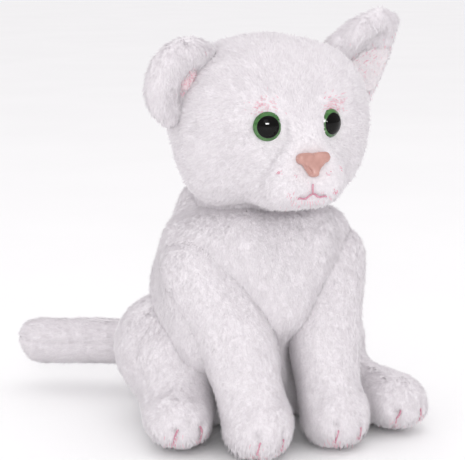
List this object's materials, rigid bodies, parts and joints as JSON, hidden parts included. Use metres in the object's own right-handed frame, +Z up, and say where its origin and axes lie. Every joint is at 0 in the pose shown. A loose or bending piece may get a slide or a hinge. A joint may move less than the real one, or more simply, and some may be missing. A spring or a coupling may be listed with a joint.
{
  "type": "plush cat",
  "caption": "Seated plush cat of short white pile with a stuffed body, jointed-by-seam head, ears, legs and tail, safety eyes and a safety nose.",
  "frame": {"origin": "middle of the flat seat, on the floor plane", "axes": "+Z up, the cat faces -Y, +X is the left side of the cat"},
  "size_m": [0.1567, 0.1586, 0.1841],
  "materials": {
    "white_plush": "short soft pile, near white",
    "ear_lining": "short pile tinted pink",
    "stuffing": "loose polyester fibre",
    "bean_pouch": "plain weave pouch of plastic pellets",
    "seam_thread": "twisted thread",
    "pink_thread": "twisted thread",
    "washer": "moulded, hidden",
    "iris": "moulded green, glossy",
    "pupil": "moulded black, polished",
    "nose": "moulded, flocked look, satin"
  },
  "bodies": {
    "torso": {"back_panel_right": "white_plush", "back_panel_left": "white_plush", "chest_panel": "white_plush", "seat_panel": "white_plush", "torso_stuffing": "stuffing", "bean_pouch": "bean_pouch", "closing_seam": "seam_thread"},
    "neck": {"neck_skin": "white_plush", "neck_stuffing": "stuffing"},
    "head": {"head_side_right": "white_plush", "head_side_left": "white_plush", "head_gusset": "white_plush", "muzzle_panel": "white_plush", "chin_panel": "white_plush", "head_stuffing": "stuffing", "eye_right": "iris", "eye_left": "iris", "pupil_right": "pupil", "pupil_left": "pupil", "eye_washer_right": "washer", "eye_washer_left": "washer", "nose": "nose", "nose_washer": "washer", "mouth_stitch": "pink_thread"},
    "ear_right": {"ear_back_right": "white_plush", "ear_lining_right": "ear_lining"},
    "ear_left": {"ear_back_left": "white_plush", "ear_lining_left": "ear_lining"},
    "foreleg_right": {"foreleg_outer_right": "white_plush", "foreleg_inner_right": "white_plush", "foreleg_stuffing_right": "stuffing", "toe_stitches_right": "pink_thread"},
    "foreleg_left": {"foreleg_outer_left": "white_plush", "foreleg_inner_left": "white_plush", "foreleg_stuffing_left": "stuffing", "toe_stitches_left": "pink_thread"},
    "hindleg_right": {"thigh_outer_right": "white_plush", "thigh_inner_right": "white_plush", "hind_stuffing_right": "stuffing", "foot_stitches_right": "pink_thread"},
    "hindleg_left": {"thigh_outer_left": "white_plush", "thigh_inner_left": "white_plush", "hind_stuffing_left": "stuffing", "foot_stitches_left": "pink_thread"},
    "tail": {"tail_top": "white_plush", "tail_under": "white_plush", "tail_stuffing": "stuffing"}
  },
  "joints": [
    {"name": "head_turn", "type": "hinge", "parent": "torso", "child": "neck", "pos_m": [0, 0, 0.1], "axis": [0, 0, 1], "range_deg": [-25, 25], "stiffness_Nm_per_rad": 0.25},
    {"name": "head_nod", "type": "hinge", "parent": "neck", "child": "head", "pos_m": [0, 0, 0.1], "axis": [1, 0, 0], "range_deg": [-8, 8], "stiffness_Nm_per_rad": 0.5},
    {"name": "ear_right_flap", "type": "hinge", "parent": "head", "child": "ear_right", "pos_m": [-0.04011, -0.013, 0.15762], "axis": [0.5592, 0, 0.829], "range_deg": [-15, 15], "stiffness_Nm_per_rad": 0.02},
    {"name": "ear_left_flap", "type": "hinge", "parent": "head", "child": "ear_left", "pos_m": [0.04207, -0.007, 0.1543], "axis": [0.454, 0, -0.891], "range_deg": [-15, 15], "stiffness_Nm_per_rad": 0.02},
    {"name": "foreleg_right_lift", "type": "hinge", "parent": "torso", "child": "foreleg_right", "pos_m": [-0.031, -0.008, 0.074], "axis": [-1, 0, 0], "range_deg": [0, 40], "stiffness_Nm_per_rad": 0.12},
    {"name": "foreleg_left_lift", "type": "hinge", "parent": "torso", "child": "foreleg_left", "pos_m": [0.031, -0.008, 0.074], "axis": [-1, 0, 0], "range_deg": [0, 40], "stiffness_Nm_per_rad": 0.12},
    {"name": "hindleg_right_swing", "type": "hinge", "parent": "torso", "child": "hindleg_right", "pos_m": [-0.033, 0.0175, 0.031], "axis": [0, 0, -1], "range_deg": [0, 30], "stiffness_Nm_per_rad": 0.12},
    {"name": "hindleg_left_swing", "type": "hinge", "parent": "torso", "child": "hindleg_left", "pos_m": [0.033, 0.0175, 0.031], "axis": [0, 0, 1], "range_deg": [0, 30], "stiffness_Nm_per_rad": 0.12},
    {"name": "tail_swing", "type": "hinge", "parent": "torso", "child": "tail", "pos_m": [0, 0.048, 0.025], "axis": [0, 0, 1], "range_deg": [-120, 0], "stiffness_Nm_per_rad": 0.05}
  ]
}
